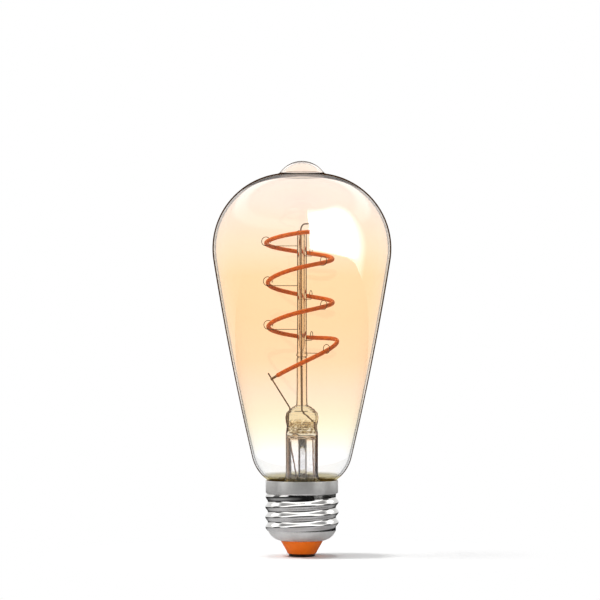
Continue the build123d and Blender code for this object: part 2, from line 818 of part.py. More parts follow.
pieces = {
    "glass_envelope": glass_envelope,
    "stem_flare": stem_flare,
    "stem_rod": stem_rod,
    "stem_pillar": stem_pillar,
    "exhaust_tube": exhaust_tube,
    "filament_coat": filament_coat,
    "filament_strip": filament_strip,
    "led_chips": led_chips,
    "filament_terminals": filament_terminals,
    "support_wires": support_wires,
    "upper_lead": upper_lead,
    "lower_lead": lower_lead,
    "lead_anchor": lead_anchor,
    "seal_wires": seal_wires,
    "outer_leads": outer_leads,
    "cap_cement": cap_cement,
    "cap_shell": cap_shell,
    "cap_insulator": cap_insulator,
    "centre_contact": centre_contact,
    "contact_lead": contact_lead,
    "shell_lead": shell_lead,
    "driver_sleeve": driver_sleeve,
    "driver_board": driver_board,
    "bridge_rectifier": bridge_rectifier,
    "driver_controller": driver_controller,
    "bulk_capacitor": bulk_capacitor,
    "fusible_resistor": fusible_resistor,
    "inductor_core": inductor_core,
    "inductor_winding": inductor_winding,
    "radio_board": radio_board,
    "radio_shield": radio_shield,
    "radio_antenna": radio_antenna,
    "solder_joints": solder_joints,
}
for name, piece in pieces.items():
    piece.part.label = name
    export_step(piece.part, f"parts/{name}.step")
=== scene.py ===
import math

import bpy
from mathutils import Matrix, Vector


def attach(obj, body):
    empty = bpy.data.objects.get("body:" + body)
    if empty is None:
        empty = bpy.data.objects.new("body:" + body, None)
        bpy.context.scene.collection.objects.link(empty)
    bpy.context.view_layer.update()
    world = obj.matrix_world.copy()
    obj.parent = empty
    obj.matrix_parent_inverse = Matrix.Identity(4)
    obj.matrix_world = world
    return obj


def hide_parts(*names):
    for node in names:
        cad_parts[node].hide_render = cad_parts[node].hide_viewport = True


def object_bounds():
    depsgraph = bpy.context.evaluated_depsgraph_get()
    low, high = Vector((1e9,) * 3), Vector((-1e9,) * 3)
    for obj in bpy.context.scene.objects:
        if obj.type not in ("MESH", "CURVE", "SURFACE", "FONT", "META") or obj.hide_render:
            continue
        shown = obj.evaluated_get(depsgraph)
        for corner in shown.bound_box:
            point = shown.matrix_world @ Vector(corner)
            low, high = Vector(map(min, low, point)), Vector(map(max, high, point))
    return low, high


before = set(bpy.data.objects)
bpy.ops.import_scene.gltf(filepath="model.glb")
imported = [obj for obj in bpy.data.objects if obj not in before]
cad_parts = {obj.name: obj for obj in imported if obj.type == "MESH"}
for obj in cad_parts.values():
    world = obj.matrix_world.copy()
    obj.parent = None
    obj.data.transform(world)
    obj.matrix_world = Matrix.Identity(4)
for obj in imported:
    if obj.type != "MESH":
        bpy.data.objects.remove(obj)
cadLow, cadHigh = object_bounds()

mm = 0.001
print("frame loaded:", len(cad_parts), "nodes")


def hexToLinear(code):
    # sRGB hex to the linear colour that the shaders work in
    channels = [int(code[i : i + 2], 16) / 255 for i in (0, 2, 4)]
    return tuple(c / 12.92 if c <= 0.04045 else ((c + 0.055) / 1.055) ** 2.4 for c in channels) + (1.0,)


def addNode(tree, kind, settings=None, links=None):
    # one node, with its settings (attributes or socket values) and its incoming links
    node = tree.nodes.new(kind)
    for key, value in (settings or {}).items():
        if isinstance(key, int) or key in node.inputs:
            node.inputs[key].default_value = value
        else:
            setattr(node, key, value)
    for key, source in (links or {}).items():
        tree.links.new(source, node.inputs[key])
    return node


def addRamp(tree, source, stops, interpolation="LINEAR"):
    node = tree.nodes.new("ShaderNodeValToRGB")
    node.color_ramp.interpolation = interpolation
    elements = node.color_ramp.elements
    while len(elements) < len(stops):
        elements.new(0.5)
    for element, (place, colour) in zip(elements, stops):
        element.position = place
        element.color = colour
    tree.links.new(source, node.inputs["Fac"])
    return node


def mapRange(tree, source, low, high, toLow=0.0, toHigh=1.0):
    # rescales source from low..high to toLow..toHigh and holds it there
    settings = {"From Min": low, "From Max": high, "To Min": toLow, "To Max": toHigh}
    return addNode(tree, "ShaderNodeMapRange", settings, {"Value": source})


def noise(tree, where, scale, detail, roughness=0.5):
    settings = {"Scale": scale, "Detail": detail, "Roughness": roughness}
    return addNode(tree, "ShaderNodeTexNoise", settings, {"Vector": where})


def maths(tree, operation, first, second):
    return addNode(tree, "ShaderNodeMath", {"operation": operation}, {0: first, 1: second})


def relief(tree, height, strength, distance):
    return addNode(tree, "ShaderNodeBump", {"Strength": strength, "Distance": distance}, {"Height": height})


def mixShaders(tree, share, first, second):
    return addNode(tree, "ShaderNodeMixShader", None, {0: share, 1: first, 2: second})


def newMaterial(name):
    material = bpy.data.materials.new(name)
    material.use_nodes = True
    tree = material.node_tree
    tree.nodes.clear()
    output = tree.nodes.new("ShaderNodeOutputMaterial")
    return material, tree, output


def addMesh(name, verts, faces, material, smooth=True):
    data = bpy.data.meshes.new(name)
    data.from_pydata([tuple(v) for v in verts], [], faces)
    data.update()
    if smooth:
        data.polygons.foreach_set("use_smooth", [True] * len(data.polygons))
    data.materials.append(material)
    piece = bpy.data.objects.new(name, data)
    bpy.context.scene.collection.objects.link(piece)
    return piece


def stand(piece, node):
    # the piece rides on the one body and is shown in place of its CAD node
    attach(piece, "root")
    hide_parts(node)


def lathe(name, profile, sides, material, centre=(0, 0)):
    # turns a closed outline of (radius, height) points in mm round the axis
    loop = zip(profile, profile[1:] + profile[:1])
    if sum(a[0] * b[1] - b[0] * a[1] for a, b in loop) < 0:
        profile = profile[::-1]
    verts, faces, rings = [], [], []
    for radius, height in profile:
        if radius < 1e-6:
            rings.append([len(verts)])
            verts.append((centre[0] * mm, centre[1] * mm, height * mm))
            continue
        start = len(verts)
        for side in range(sides):
            angle = 2 * math.pi * side / sides
            verts.append(
                (
                    (centre[0] + radius * math.cos(angle)) * mm,
                    (centre[1] + radius * math.sin(angle)) * mm,
                    height * mm,
                )
            )
        rings.append(list(range(start, start + sides)))
    for a, b in zip(rings, rings[1:] + rings[:1]):
        if len(a) == 1 and len(b) == 1:
            continue
        for side in range(sides):
            after = (side + 1) % sides
            if len(a) == 1:
                faces.append((a[0], b[after], b[side]))
            elif len(b) == 1:
                faces.append((a[side], a[after], b[0]))
            else:
                faces.append((a[side], a[after], b[after], b[side]))
    return addMesh(name, verts, faces, material)


def arcPoints(centre, radius, start, end, count):
    # points on an arc, angles in degrees
    points = []
    for step in range(count + 1):
        angle = math.radians(start + (end - start) * step / count)
        points.append((centre[0] + radius * math.cos(angle), centre[1] + radius * math.sin(angle)))
    return points


def tangentArc(start, direction, end, count):
    # arc that leaves start along direction and reaches end; gives its points and its last direction
    start, direction, end = Vector(start), Vector(direction).normalized(), Vector(end)
    normal = Vector((-direction.y, direction.x))
    chord = end - start
    across = chord.dot(normal)
    radius = chord.length_squared / (2 * across)
    centre = start + normal * radius
    first = math.atan2(start.y - centre.y, start.x - centre.x)
    last = math.atan2(end.y - centre.y, end.x - centre.x)
    turn = last - first
    if radius > 0 and turn < 0:
        turn += 2 * math.pi
    if radius < 0 and turn > 0:
        turn -= 2 * math.pi
    points = []
    for step in range(count + 1):
        angle = first + turn * step / count
        points.append(
            (centre.x + abs(radius) * math.cos(angle), centre.y + abs(radius) * math.sin(angle))
        )
    heading = Vector((-math.sin(last), math.cos(last))) * (1 if radius > 0 else -1)
    return points, heading


def offsetLine(points, distance):
    # the line moved sideways, to its right as it runs, by distance
    moved = []
    for i, point in enumerate(points):
        before = Vector(points[max(i - 1, 0)])
        after = Vector(points[min(i + 1, len(points) - 1)])
        along = (after - before).normalized()
        moved.append((point[0] + along.y * distance, point[1] - along.x * distance))
    return moved


def tubeRings(path, radii, sides, verts, faces, ripple=None):
    # round tube along a path in mm, both ends closed; ripple(length, angle) scales the radius
    path = [Vector(p) for p in path]
    tangents = []
    for i in range(len(path)):
        tangents.append((path[min(i + 1, len(path) - 1)] - path[max(i - 1, 0)]).normalized())
    side = tangents[0].orthogonal().normalized()
    rings = []
    lengths = [0.0]
    for a, b in zip(path, path[1:]):
        lengths.append(lengths[-1] + (b - a).length)
    for i, (point, tangent) in enumerate(zip(path, tangents)):
        if i:
            turn = tangents[i - 1].rotation_difference(tangent)
            side = (turn @ side).normalized()
        up = tangent.cross(side)
        ring = []
        for k in range(sides):
            angle = 2 * math.pi * k / sides
            scale = ripple(lengths[i], angle) if ripple else 1.0
            offset = (side * math.cos(angle) + up * math.sin(angle)) * radii[i] * scale
            ring.append(len(verts))
            verts.append((point + offset) * mm)
        rings.append(ring)
    for a, b in zip(rings, rings[1:]):
        for k in range(sides):
            after = (k + 1) % sides
            faces.append((a[k], a[after], b[after], b[k]))
    faces.append(tuple(reversed(rings[0])))
    faces.append(tuple(rings[-1]))


def roundEnds(path, radius, count=3):
    # extra rings that round a wire's two ends; gives the longer path and its radii
    path = [Vector(p) for p in path]
    first = (path[0] - path[1]).normalized()
    last = (path[-1] - path[-2]).normalized()
    head, tail, small, big = [], [], [], []
    for step in range(count):
        angle = math.pi / 2 * (count - step) / (count + 0.5)
        head.append(path[0] - first * radius * (1 - math.sin(angle)))
        small.append(radius * math.cos(angle))
    for step in range(count):
        angle = math.pi / 2 * (step + 1) / (count + 0.5)
        tail.append(path[-1] - last * radius * (1 - math.sin(angle)))
        big.append(radius * math.cos(angle))
    body = [path[0] - first * radius, *path[1:-1], path[-1] - last * radius]
    return head + body + tail, small + [radius] * len(body) + big


def metal(name, colour, rough, grain, depth, streak=None, low=None):
    # bare wire or sheet metal: dull patches of grain mm, depth mm deep, over one base colour
    material, tree, output = newMaterial(name)
    place = addNode(tree, "ShaderNodeTexCoord")
    stretch = addNode(
        tree, "ShaderNodeMapping", {"Scale": streak or (1, 1, 1)}, {"Vector": place.outputs["Object"]},
    )
    patches = noise(tree, stretch.outputs[0], 1 / (grain * mm), 6.0, 0.6)
    tint = addRamp(
        tree, patches.outputs["Fac"], [(0.35, hexToLinear(low or colour)), (0.62, hexToLinear(colour))],
    )
    gloss = mapRange(tree, patches.outputs["Fac"], 0.3, 0.7, rough * 0.7, rough * 1.3)
    bump = relief(tree, patches.outputs["Fac"], 0.35, depth * mm)
    surface = addNode(
        tree, "ShaderNodeBsdfPrincipled", {"Metallic": 1.0},
        {"Base Color": tint.outputs[0], "Roughness": gloss.outputs[0], "Normal": bump.outputs[0]},
    )
    tree.links.new(surface.outputs[0], output.inputs["Surface"])
    return material


def moulded(name, colour, dark, rough, grain, depth, settings=None):
    # moulded, coated or fired stuff: a faint mottle of grain mm and a finer surface, depth mm deep
    material, tree, output = newMaterial(name)
    place = addNode(tree, "ShaderNodeTexCoord")
    mottle = noise(tree, place.outputs["Object"], 1 / (grain * mm), 4.0, 0.55)
    fine = noise(tree, place.outputs["Object"], 9 / (grain * mm), 3.0)
    tint = addRamp(tree, mottle.outputs["Fac"], [(0.3, hexToLinear(dark)), (0.65, hexToLinear(colour))])
    gloss = mapRange(tree, fine.outputs["Fac"], 0.3, 0.7, rough * 0.8, min(rough * 1.2, 1.0))
    bump = relief(tree, fine.outputs["Fac"], 0.3, depth * mm)
    surface = addNode(
        tree, "ShaderNodeBsdfPrincipled", settings,
        {"Base Color": tint.outputs[0], "Roughness": gloss.outputs[0], "Normal": bump.outputs[0]},
    )
    tree.links.new(surface.outputs[0], output.inputs["Surface"])
    return material


def blownGlass(name, stops, low, high, rim, wave, folds=None):
    # glass whose tint runs with height; rim is painted shade, a dark line painted where a wall is seen
    # sideways
    material, tree, output = newMaterial(name)
    place = addNode(tree, "ShaderNodeTexCoord")
    parts = addNode(tree, "ShaderNodeSeparateXYZ", None, {"Vector": place.outputs["Object"]})
    height = mapRange(tree, parts.outputs["Z"], low * mm, high * mm)
    tints = [((z - low) / (high - low), tuple(c**0.5 for c in colour) + (1.0,)) for z, colour in stops]
    colour = addRamp(tree, height.outputs[0], tints).outputs[0]
    waves = noise(tree, place.outputs["Object"], 1 / (wave["size"] * mm), 2.0, 0.45)
    bump = relief(tree, waves.outputs["Fac"], wave["strength"], wave["depth"] * mm)
    if folds:
        # creases where the jaws closed on soft glass, drawn as thin dark meandering lines of painted shade
        crease = addNode(
            tree, "ShaderNodeTexNoise",
            {"Scale": 1 / (folds["size"] * mm), "Detail": 3.0, "Roughness": 0.55, "Distortion": 1.4},
            {"Vector": place.outputs["Object"]},
        )
        middle = addNode(
            tree, "ShaderNodeMath", {"operation": "SUBTRACT", 1: 0.5}, {0: crease.outputs["Fac"]},
        )
        away = addNode(tree, "ShaderNodeMath", {"operation": "ABSOLUTE"}, {0: middle.outputs[0]})
        paintedCreaseShade = addRamp(
            tree, away.outputs[0],
            [
                (0.0, hexToLinear("2c1c08")), (0.03, hexToLinear("6e4e22")),
                (0.06, hexToLinear("e2c890")), (0.12, (1, 1, 1, 1)),
            ],
        )
        band = addRamp(
            tree,
            mapRange(tree, parts.outputs["Z"], folds["foot"] * mm, folds["top"] * mm).outputs[0],
            [(0.0, (0, 0, 0, 1)), (0.12, (1, 1, 1, 1)), (0.8, (1, 1, 1, 1)), (1.0, (0, 0, 0, 1))],
        )
        creased = addNode(tree, "ShaderNodeMix", {"data_type": "RGBA", "blend_type": "MULTIPLY"})
        tree.links.new(band.outputs[0], creased.inputs[0])
        tree.links.new(colour, creased.inputs[6])
        tree.links.new(paintedCreaseShade.outputs[0], creased.inputs[7])
        colour = creased.outputs[2]
    glass = addNode(
        tree, "ShaderNodeBsdfPrincipled", {"Transmission Weight": 1.0, "Roughness": 0.0, "IOR": 1.5},
        {"Base Color": colour, "Normal": bump.outputs[0]},
    )
    facing = addNode(tree, "ShaderNodeLayerWeight", {"Blend": 0.5})
    share = mapRange(tree, facing.outputs["Facing"], rim["from"], rim["to"])
    if "crown" in rim:
        # the painted dark line widens over the shoulder, where it is seen sideways, and is only half as dark
        # there: painted shade on the crown
        shape = addNode(tree, "ShaderNodeNewGeometry")
        lean = addNode(tree, "ShaderNodeSeparateXYZ", None, {"Vector": shape.outputs["Normal"]})
        upward = mapRange(tree, lean.outputs["Z"], 0.75, 0.93, 0.0, 0.15)
        turned = maths(tree, "ADD", facing.outputs["Facing"], upward.outputs[0])
        crown = mapRange(tree, turned.outputs[0], rim["from"], rim["to"], 0.0, rim["crown"])
        share = maths(tree, "MAXIMUM", share.outputs[0], crown.outputs[0])
    if "turn" in rim:
        # painted shade: a dark line on the left side of the squeezed top and on the right side of the tube
        # below it
        shape = addNode(tree, "ShaderNodeNewGeometry")
        lean = addNode(tree, "ShaderNodeSeparateXYZ", None, {"Vector": shape.outputs["Normal"]})
        way = mapRange(tree, parts.outputs["Z"], rim["turn"][0] * mm, rim["turn"][1] * mm, 1.0, -1.0)
        sided = maths(tree, "MULTIPLY", lean.outputs["X"], way.outputs[0])
        paintedShade = mapRange(tree, sided.outputs[0], 0.8, 0.9)
        share = maths(tree, "MAXIMUM", share.outputs[0], paintedShade.outputs[0])
    line = addNode(tree, "ShaderNodeBsdfTransparent", {"Color": hexToLinear(rim["colour"])})
    edged = mixShaders(tree, share.outputs[0], glass.outputs[0], line.outputs[0])
    if "foot" in rim:
        # painted shade: an olive grey band low on the heel, where the glass turns in over the cap
        paintedShade = mapRange(tree, parts.outputs["Z"], rim["foot"][0] * mm, rim["foot"][1] * mm)
        olive = addNode(tree, "ShaderNodeBsdfTransparent", {"Color": hexToLinear(rim["shade"])})
        edged = mixShaders(tree, paintedShade.outputs[0], edged.outputs[0], olive.outputs[0])
    lit = addNode(tree, "ShaderNodeLightPath")
    clear = addNode(tree, "ShaderNodeBsdfTransparent", {"Color": (0.97, 0.97, 0.97, 1.0)})
    both = mixShaders(tree, lit.outputs["Is Shadow Ray"], edged.outputs[0], clear.outputs[0])
    tree.links.new(both.outputs[0], output.inputs["Surface"])
    return material


# What is left of white light after both walls, by height in mm, linear.
amberByHeight = [
    (36.0, (1.0, 1.0, 0.99)),
    (41.5, (1.0, 0.94, 0.80)),
    (47.0, (1.0, 0.88, 0.65)),
    (52.0, (1.0, 0.81, 0.575)),
    (59.0, (1.0, 0.74, 0.53)),
    (70.0, (1.0, 0.67, 0.40)),
    (85.0, (1.0, 0.655, 0.365)),
    (100.0, (1.0, 0.665, 0.37)),
    (109.0, (1.0, 0.73, 0.49)),
    (127.0, (0.97, 0.79, 0.67)),
]
# the warm, slightly uneven tint that fades to clear towards the neck; its dark edge lines, crown band and
# heel band are painted shade
amberGlass = blownGlass(
    "blown glass, amber lustre fired on", amberByHeight, 26.0, 130.0,
    {"crown": 0.75, "from": 0.80, "to": 0.84, "colour": "806742", "foot": (29.3, 28.1), "shade": "dcd6c0"},
    {"size": 18.0, "strength": 0.08, "depth": 0.4},
)
# near colourless tube drawn out in the flame, with dark lines of painted shade along its edges
stemGlass = blownGlass(
    "lead glass rod, flame drawn",
    [(54.0, (0.90, 0.76, 0.52)), (72.0, (0.86, 0.72, 0.52)), (120.0, (0.90, 0.80, 0.66))],
    30.0, 130.0,
    {"from": 0.32, "to": 0.56, "colour": "74501f"},
    {"size": 6.0, "strength": 0.2, "depth": 0.3},
)
# the squeezed and crumpled part of the stem, then clear tube below it; its dark edge, side and crease lines
# are painted shade
pressGlass = blownGlass(
    "lead glass tube, pressed hot",
    [
        (30.0, (0.99, 0.98, 1.0)), (42.0, (0.97, 0.95, 0.95)), (45.0, (0.93, 0.80, 0.56)),
        (54.0, (0.98, 0.84, 0.50)),
    ],
    30.0, 130.0,
    {"from": 0.66, "to": 0.8, "colour": "7a5c40", "turn": (43.4, 44.4)},
    {"size": 4.5, "strength": 0.35, "depth": 0.3},
    {"size": 2.4, "foot": 43.6, "top": 49.0},
)
# dull pale grey of drawn nickel
nickelWire = metal("nickel wire, drawn and annealed", "7c6444", 0.34, 0.4, 0.01, low="4c3c26")
# redder grey where the copper shows
copperWire = metal("copper-clad wire, oxidised in the seal", "a5785a", 0.35, 0.4, 0.01, low="6e4a34")
print("first materials made")

# glass envelope, mm and degrees
glassNote = {
    "wall": 0.7,
    "length": cadHigh.z / mm,
    "globe": cadHigh.x / mm,
    "shoulder": 27.0,
    "sweep": 99.1,
    "tipRise": 4.3,
    "tip": 9.5,
    "blend": 2.2,
    "heel": (17.8, 35.5),
    "neck": 12.2,
    "collar": 27.2,
    "foot": 23.6,
    # the heel ends this far out from the neck and above the collar, then eases into the neck
    "heelEnd": (0.55, 0.4),
    "ease": ((0.12, 0.05), (0.0, -0.25)),
    "sides": 160,
}


def envelopeOutline(note):
    shoulder = Vector(
        (note["globe"] - note["shoulder"], note["length"] - note["tipRise"] - note["shoulder"]),
    )
    tip = Vector((0, note["length"] - note["tip"]))
    # centre of the hollow blend, outside both arcs
    a, b = note["tip"] + note["blend"], note["shoulder"] + note["blend"]
    span = shoulder - tip
    along = (a * a - b * b + span.length_squared) / (2 * span.length)
    aside = math.sqrt(a * a - along * along)
    blend = tip + span.normalized() * along + Vector((-span.y, span.x)).normalized() * aside
    toTip, toShoulder = tip - blend, shoulder - blend
    tipEnd = math.degrees(math.atan2(-toTip.y, -toTip.x))
    shoulderStart = math.degrees(math.atan2(-toShoulder.y, -toShoulder.x))
    line = arcPoints(tip, note["tip"], 90, tipEnd, 14)
    line += arcPoints(
        blend, note["blend"], math.degrees(math.atan2(toTip.y, toTip.x)),
        math.degrees(math.atan2(toShoulder.y, toShoulder.x)), 10,
    )[1:]
    last = 90 - note["sweep"]
    line += arcPoints(shoulder, note["shoulder"], shoulderStart, last, 56)[1:]
    heading = (math.sin(math.radians(last)), -math.cos(math.radians(last)))
    flank, heading = tangentArc(line[-1], heading, note["heel"], 50)
    line += flank[1:]
    heelEnd = (note["neck"] + note["heelEnd"][0], note["collar"] + note["heelEnd"][1])
    line += tangentArc(note["heel"], heading, heelEnd, 18)[0][1:]
    line += [(note["neck"] + out, note["collar"] + up) for out, up in note["ease"]]
    line.append((note["neck"], note["foot"]))
    return line


outline = envelopeOutline(glassNote)
inner = [(max(r, 0.0), z) for r, z in offsetLine(outline, glassNote["wall"])]
inner[0] = (0.0, glassNote["length"] - glassNote["wall"])
inner[-1] = (glassNote["neck"] - glassNote["wall"], glassNote["foot"])
envelope = lathe("bulbGlass", outline + inner[::-1], glassNote["sides"], amberGlass)
stand(envelope, "glass_envelope")
print("envelope made")

# stem, mm
stemNote = {
    "flareRadius": 5.75,
    "flareWall": 1.0,
    "rim": 23.6,
    "bend": 5.2,
    "flareTop": 44.0,
    "bore": 43.4,
    "neckBore": 11.5,
    "pressTop": 54.0,
    "pillar": 1.725,
    # crumpled band low on the press: height, reach either way and depth as a share of the width
    "crumple": (46.3, 2.6, 0.16),
    # the bore's melted end: height and share of the bore's radius
    "dome": ((41.8, 1.0), (42.6, 0.93), (43.1, 0.72), (43.35, 0.42), (43.4, 0.16)),
    "melt": 0.1,
    "topHole": 0.9,
}
# half width and half depth of the squeezed top, by height
pressSections = [
    (44.0, 5.75, 5.75),
    (45.2, 5.55, 5.2),
    (46.6, 5.45, 4.3),
    (48.2, 5.75, 3.75),
    (49.6, 5.9, 3.5),
    (51.2, 5.6, 3.2),
    (52.4, 4.6, 2.8),
    (53.3, 3.5, 2.45),
    (54.0, 2.3, 2.0),
]


def pressHalf(height):
    for (z0, w0, d0), (z1, w1, d1) in zip(pressSections, pressSections[1:]):
        if z0 <= height <= z1:
            t = (height - z0) / (z1 - z0)
            t = t * t * (3 - 2 * t)
            return w0 + (w1 - w0) * t, d0 + (d1 - d0) * t
    return pressSections[-1][1:]


def flareShell(name, material, sides=72):
    # outside from the rim up over the squeezed top, then down the bore
    verts, faces, rings = [], [], []

    def addRing(height, halfWidth, halfDepth, ripple=0.0):
        ring = []
        for side in range(sides):
            angle = 2 * math.pi * side / sides
            fold = 1.0
            if ripple:
                # folds left by the jaws, deepest on the two flat faces
                face = abs(math.sin(angle))
                fold -= ripple * face * (
                    0.5 + 0.5 * math.sin(9.0 * height + 5.0 * math.cos(angle) + 2.2 * math.sin(3.1 * angle))
                )
            ring.append(len(verts))
            across, deep = halfWidth * fold * math.cos(angle), halfDepth * fold * math.sin(angle)
            verts.append((across * mm, deep * mm, height * mm))
        rings.append(ring)

    rimTop = stemNote["rim"] + stemNote["flareWall"]
    straight = stemNote["rim"] + stemNote["bend"]
    bendTop = straight + stemNote["flareWall"]
    bendStart, bendEnd = (stemNote["flareRadius"], bendTop), (stemNote["neckBore"], rimTop)
    outsideArc = tangentArc(bendStart, (0, -1), bendEnd, 10)[0]
    for radius, height in reversed(outsideArc):
        addRing(height, radius, radius)
    for step in range(1, 8):
        height = bendTop + (stemNote["flareTop"] - straight - stemNote["flareWall"]) * step / 8
        addRing(height, stemNote["flareRadius"], stemNote["flareRadius"])
    steps = 46
    for step in range(steps + 1):
        height = stemNote["flareTop"] + (stemNote["pressTop"] - stemNote["flareTop"]) * step / steps
        width, depth = pressHalf(height)
        middle, reach, most = stemNote["crumple"]
        crumple = max(0.0, 1 - abs(height - middle) / reach)
        addRing(height, width, depth, most * crumple)
    bore = stemNote["flareRadius"] - stemNote["flareWall"]
    addRing(stemNote["pressTop"], stemNote["topHole"], stemNote["topHole"])
    faces.append(tuple(rings[-1]))
    split = len(rings)
    insideArc = tangentArc((bore, straight), (0, -1), (stemNote["neckBore"], stemNote["rim"]), 10)[0]
    for radius, height in reversed(insideArc):
        addRing(height, radius, radius)
    for step in range(1, 8):
        addRing(straight + (stemNote["bore"] - 1.6 - straight) * step / 8, bore, bore)
    # the bore ends in an uneven, melted dome
    for height, share in stemNote["dome"]:
        addRing(height, bore * share, bore * share, stemNote["melt"] if share < 1 else 0.0)
    faces.append(tuple(reversed(rings[-1])))
    for part in (rings[:split], rings[split:]):
        for a, b in zip(part, part[1:]):
            flip = part[0] is rings[split]
            for side in range(sides):
                after = (side + 1) % sides
                face = (a[side], a[after], b[after], b[side])
                faces.append(tuple(reversed(face)) if flip else face)
    # rim edge between outside and inside
    a, b = rings[0], rings[split]
    for side in range(sides):
        after = (side + 1) % sides
        faces.append((b[side], b[after], a[after], a[side]))
    return addMesh(name, verts, faces, material)


flare = flareShell("stemFlare", pressGlass)
stand(flare, "stem_flare")

# solid rod, a little waisted where it was drawn
rodProfile = [
    (0.0, 54.0), (2.05, 54.0), (1.97, 54.7), (1.9, 56.0), (1.84, 62.5), (1.86, 69.0), (1.9, 70.4),
    (1.78, 71.0), (1.55, 71.3), (0.0, 71.3),
]
rod = lathe("stemRod", rodProfile, 48, stemGlass)
stand(rod, "stem_rod")

# bored pillar with the ring where it was melted on
pillarProfile = [
    (0.0, 71.3), (1.6, 71.3), (1.9, 71.55), (1.98, 71.9), (1.9, 72.3), (1.76, 72.8), (1.72, 74.0),
    (1.70, 92.0), (1.72, 108.0),
    (1.725, 115.6), (1.68, 116.1), (1.5, 116.42), (1.2, 116.5), (0.92, 116.4), (0.78, 116.1), (0.72, 115.5),
    (0.72, 95.0), (0.70, 76.2), (0.55, 74.6), (0.26, 72.9), (0.0, 72.4),
]
pillar = lathe("stemPillar", pillarProfile, 48, stemGlass)
stand(pillar, "stem_pillar")

# pump tube, melted shut at its foot
exhaustProfile = [
    (0.0, 21.6), (0.55, 21.68), (1.05, 22.0), (1.36, 22.5), (1.5, 23.2), (1.5, 30.0), (1.47, 36.0),
    (1.5, 43.35),
    (1.1, 43.35), (1.08, 36.0), (1.1, 24.2), (0.9, 23.4), (0.5, 23.1), (0.0, 23.0),
]
exhaust = lathe("pumpTube", exhaustProfile, 40, pressGlass, centre=(0.2, 0))
stand(exhaust, "exhaust_tube")
print("stem made")

# filament, mm and turns
coilNote = {
    "radius": 12.0,
    "centre": -0.4,
    "top": 115.4,
    "foot": 69.2,
    "start": -0.1,
    "end": 3.12,
    # at every quarter turn, from one before the first front crossing: drop, and stray from the radius
    "drops": [-1.2, 0.0, 3.5, 6.5, 9.1, 12.2, 17.7, 21.9, 24.6, 28.0, 33.3, 37.0, 38.5, 46.2, 57.5],
    "strays": [-0.7, -0.2, 0.4, 0.0, -0.7, -0.4, -0.2, -0.3, -0.6, -0.4, -0.4, 0.3, 1.0, 0.6, 0.1],
    "coat": 0.775,
    "girth": 0.985,
    "swell": 0.01,
    "chips": 64,
    "margin": 1.6,
}


def betweenQuarters(values, turn):
    place = 4 * turn + 1
    first = min(max(int(place), 1), len(values) - 3)
    share = place - first
    before, start, end, after = values[first - 1 : first + 3]
    slopeIn, slopeOut = (end - before) / 2, (after - start) / 2
    bend = 2 * (start - end) + slopeIn + slopeOut
    curve = 3 * (end - start) - 2 * slopeIn - slopeOut
    return start + slopeIn * share + curve * share**2 + bend * share**3


def coilPoint(turn):
    angle = math.radians(-90 - 360 * turn)
    radius = coilNote["radius"] + betweenQuarters(coilNote["strays"], turn)
    stretch = (coilNote["top"] - coilNote["foot"]) / coilNote["drops"][-2]
    height = coilNote["top"] - stretch * betweenQuarters(coilNote["drops"], turn)
    return Vector((coilNote["centre"] + radius * math.cos(angle), radius * math.sin(angle), height))


coilSteps = 420
coilPath = [
    coilPoint(coilNote["start"] + (coilNote["end"] - coilNote["start"]) * step / coilSteps)
    for step in range(coilSteps + 1)
]
coilLength = sum((b - a).length for a, b in zip(coilPath, coilPath[1:]))
chipPitch = (coilLength - 2 * coilNote["margin"]) / (coilNote["chips"] - 1)


def coatRipple(length, angle):
    # the jacket swells a little over every chip
    phase = 2 * math.pi * (length - coilNote["margin"]) / chipPitch
    return coilNote["girth"] - coilNote["swell"] * math.cos(phase)


def siliconeCoat():
    material, tree, output = newMaterial("silicone loaded with amber phosphor, dispensed")
    place = addNode(tree, "ShaderNodeTexCoord")
    cloud = noise(tree, place.outputs["Object"], 900.0, 4.0, 0.6)
    grain = noise(tree, place.outputs["Object"], 7000.0, 2.0)
    tint = addRamp(
        tree, cloud.outputs["Fac"],
        [(0.3, hexToLinear("c85a0c")), (0.5, hexToLinear("e06a10")), (0.7, hexToLinear("ee7a16"))],
    )
    bump = relief(tree, grain.outputs["Fac"], 0.25, 0.02 * mm)
    surface = addNode(
        tree, "ShaderNodeBsdfPrincipled",
        {
            "Roughness": 0.5, "IOR": 1.41, "Specular IOR Level": 0.2, "Subsurface Weight": 0.1,
            "Subsurface Scale": 0.3 * mm,
        },
        {"Base Color": tint.outputs[0], "Normal": bump.outputs[0]},
    )
    surface.inputs["Subsurface Radius"].default_value = (1.0, 0.5, 0.2)
    tree.links.new(surface.outputs[0], output.inputs["Surface"])
    return material


# soft orange jacket, light bleeding a little into it
coatMaterial = siliconeCoat()
verts, faces = [], []
coatPath, coatRadii = roundEnds(coilPath, coilNote["coat"])
tubeRings(coatPath, coatRadii, 20, verts, faces, coatRipple)
coat = addMesh("filamentCoat", verts, faces, coatMaterial)
stand(coat, "filament_coat")
print("filament made, length", round(coilLength, 1))

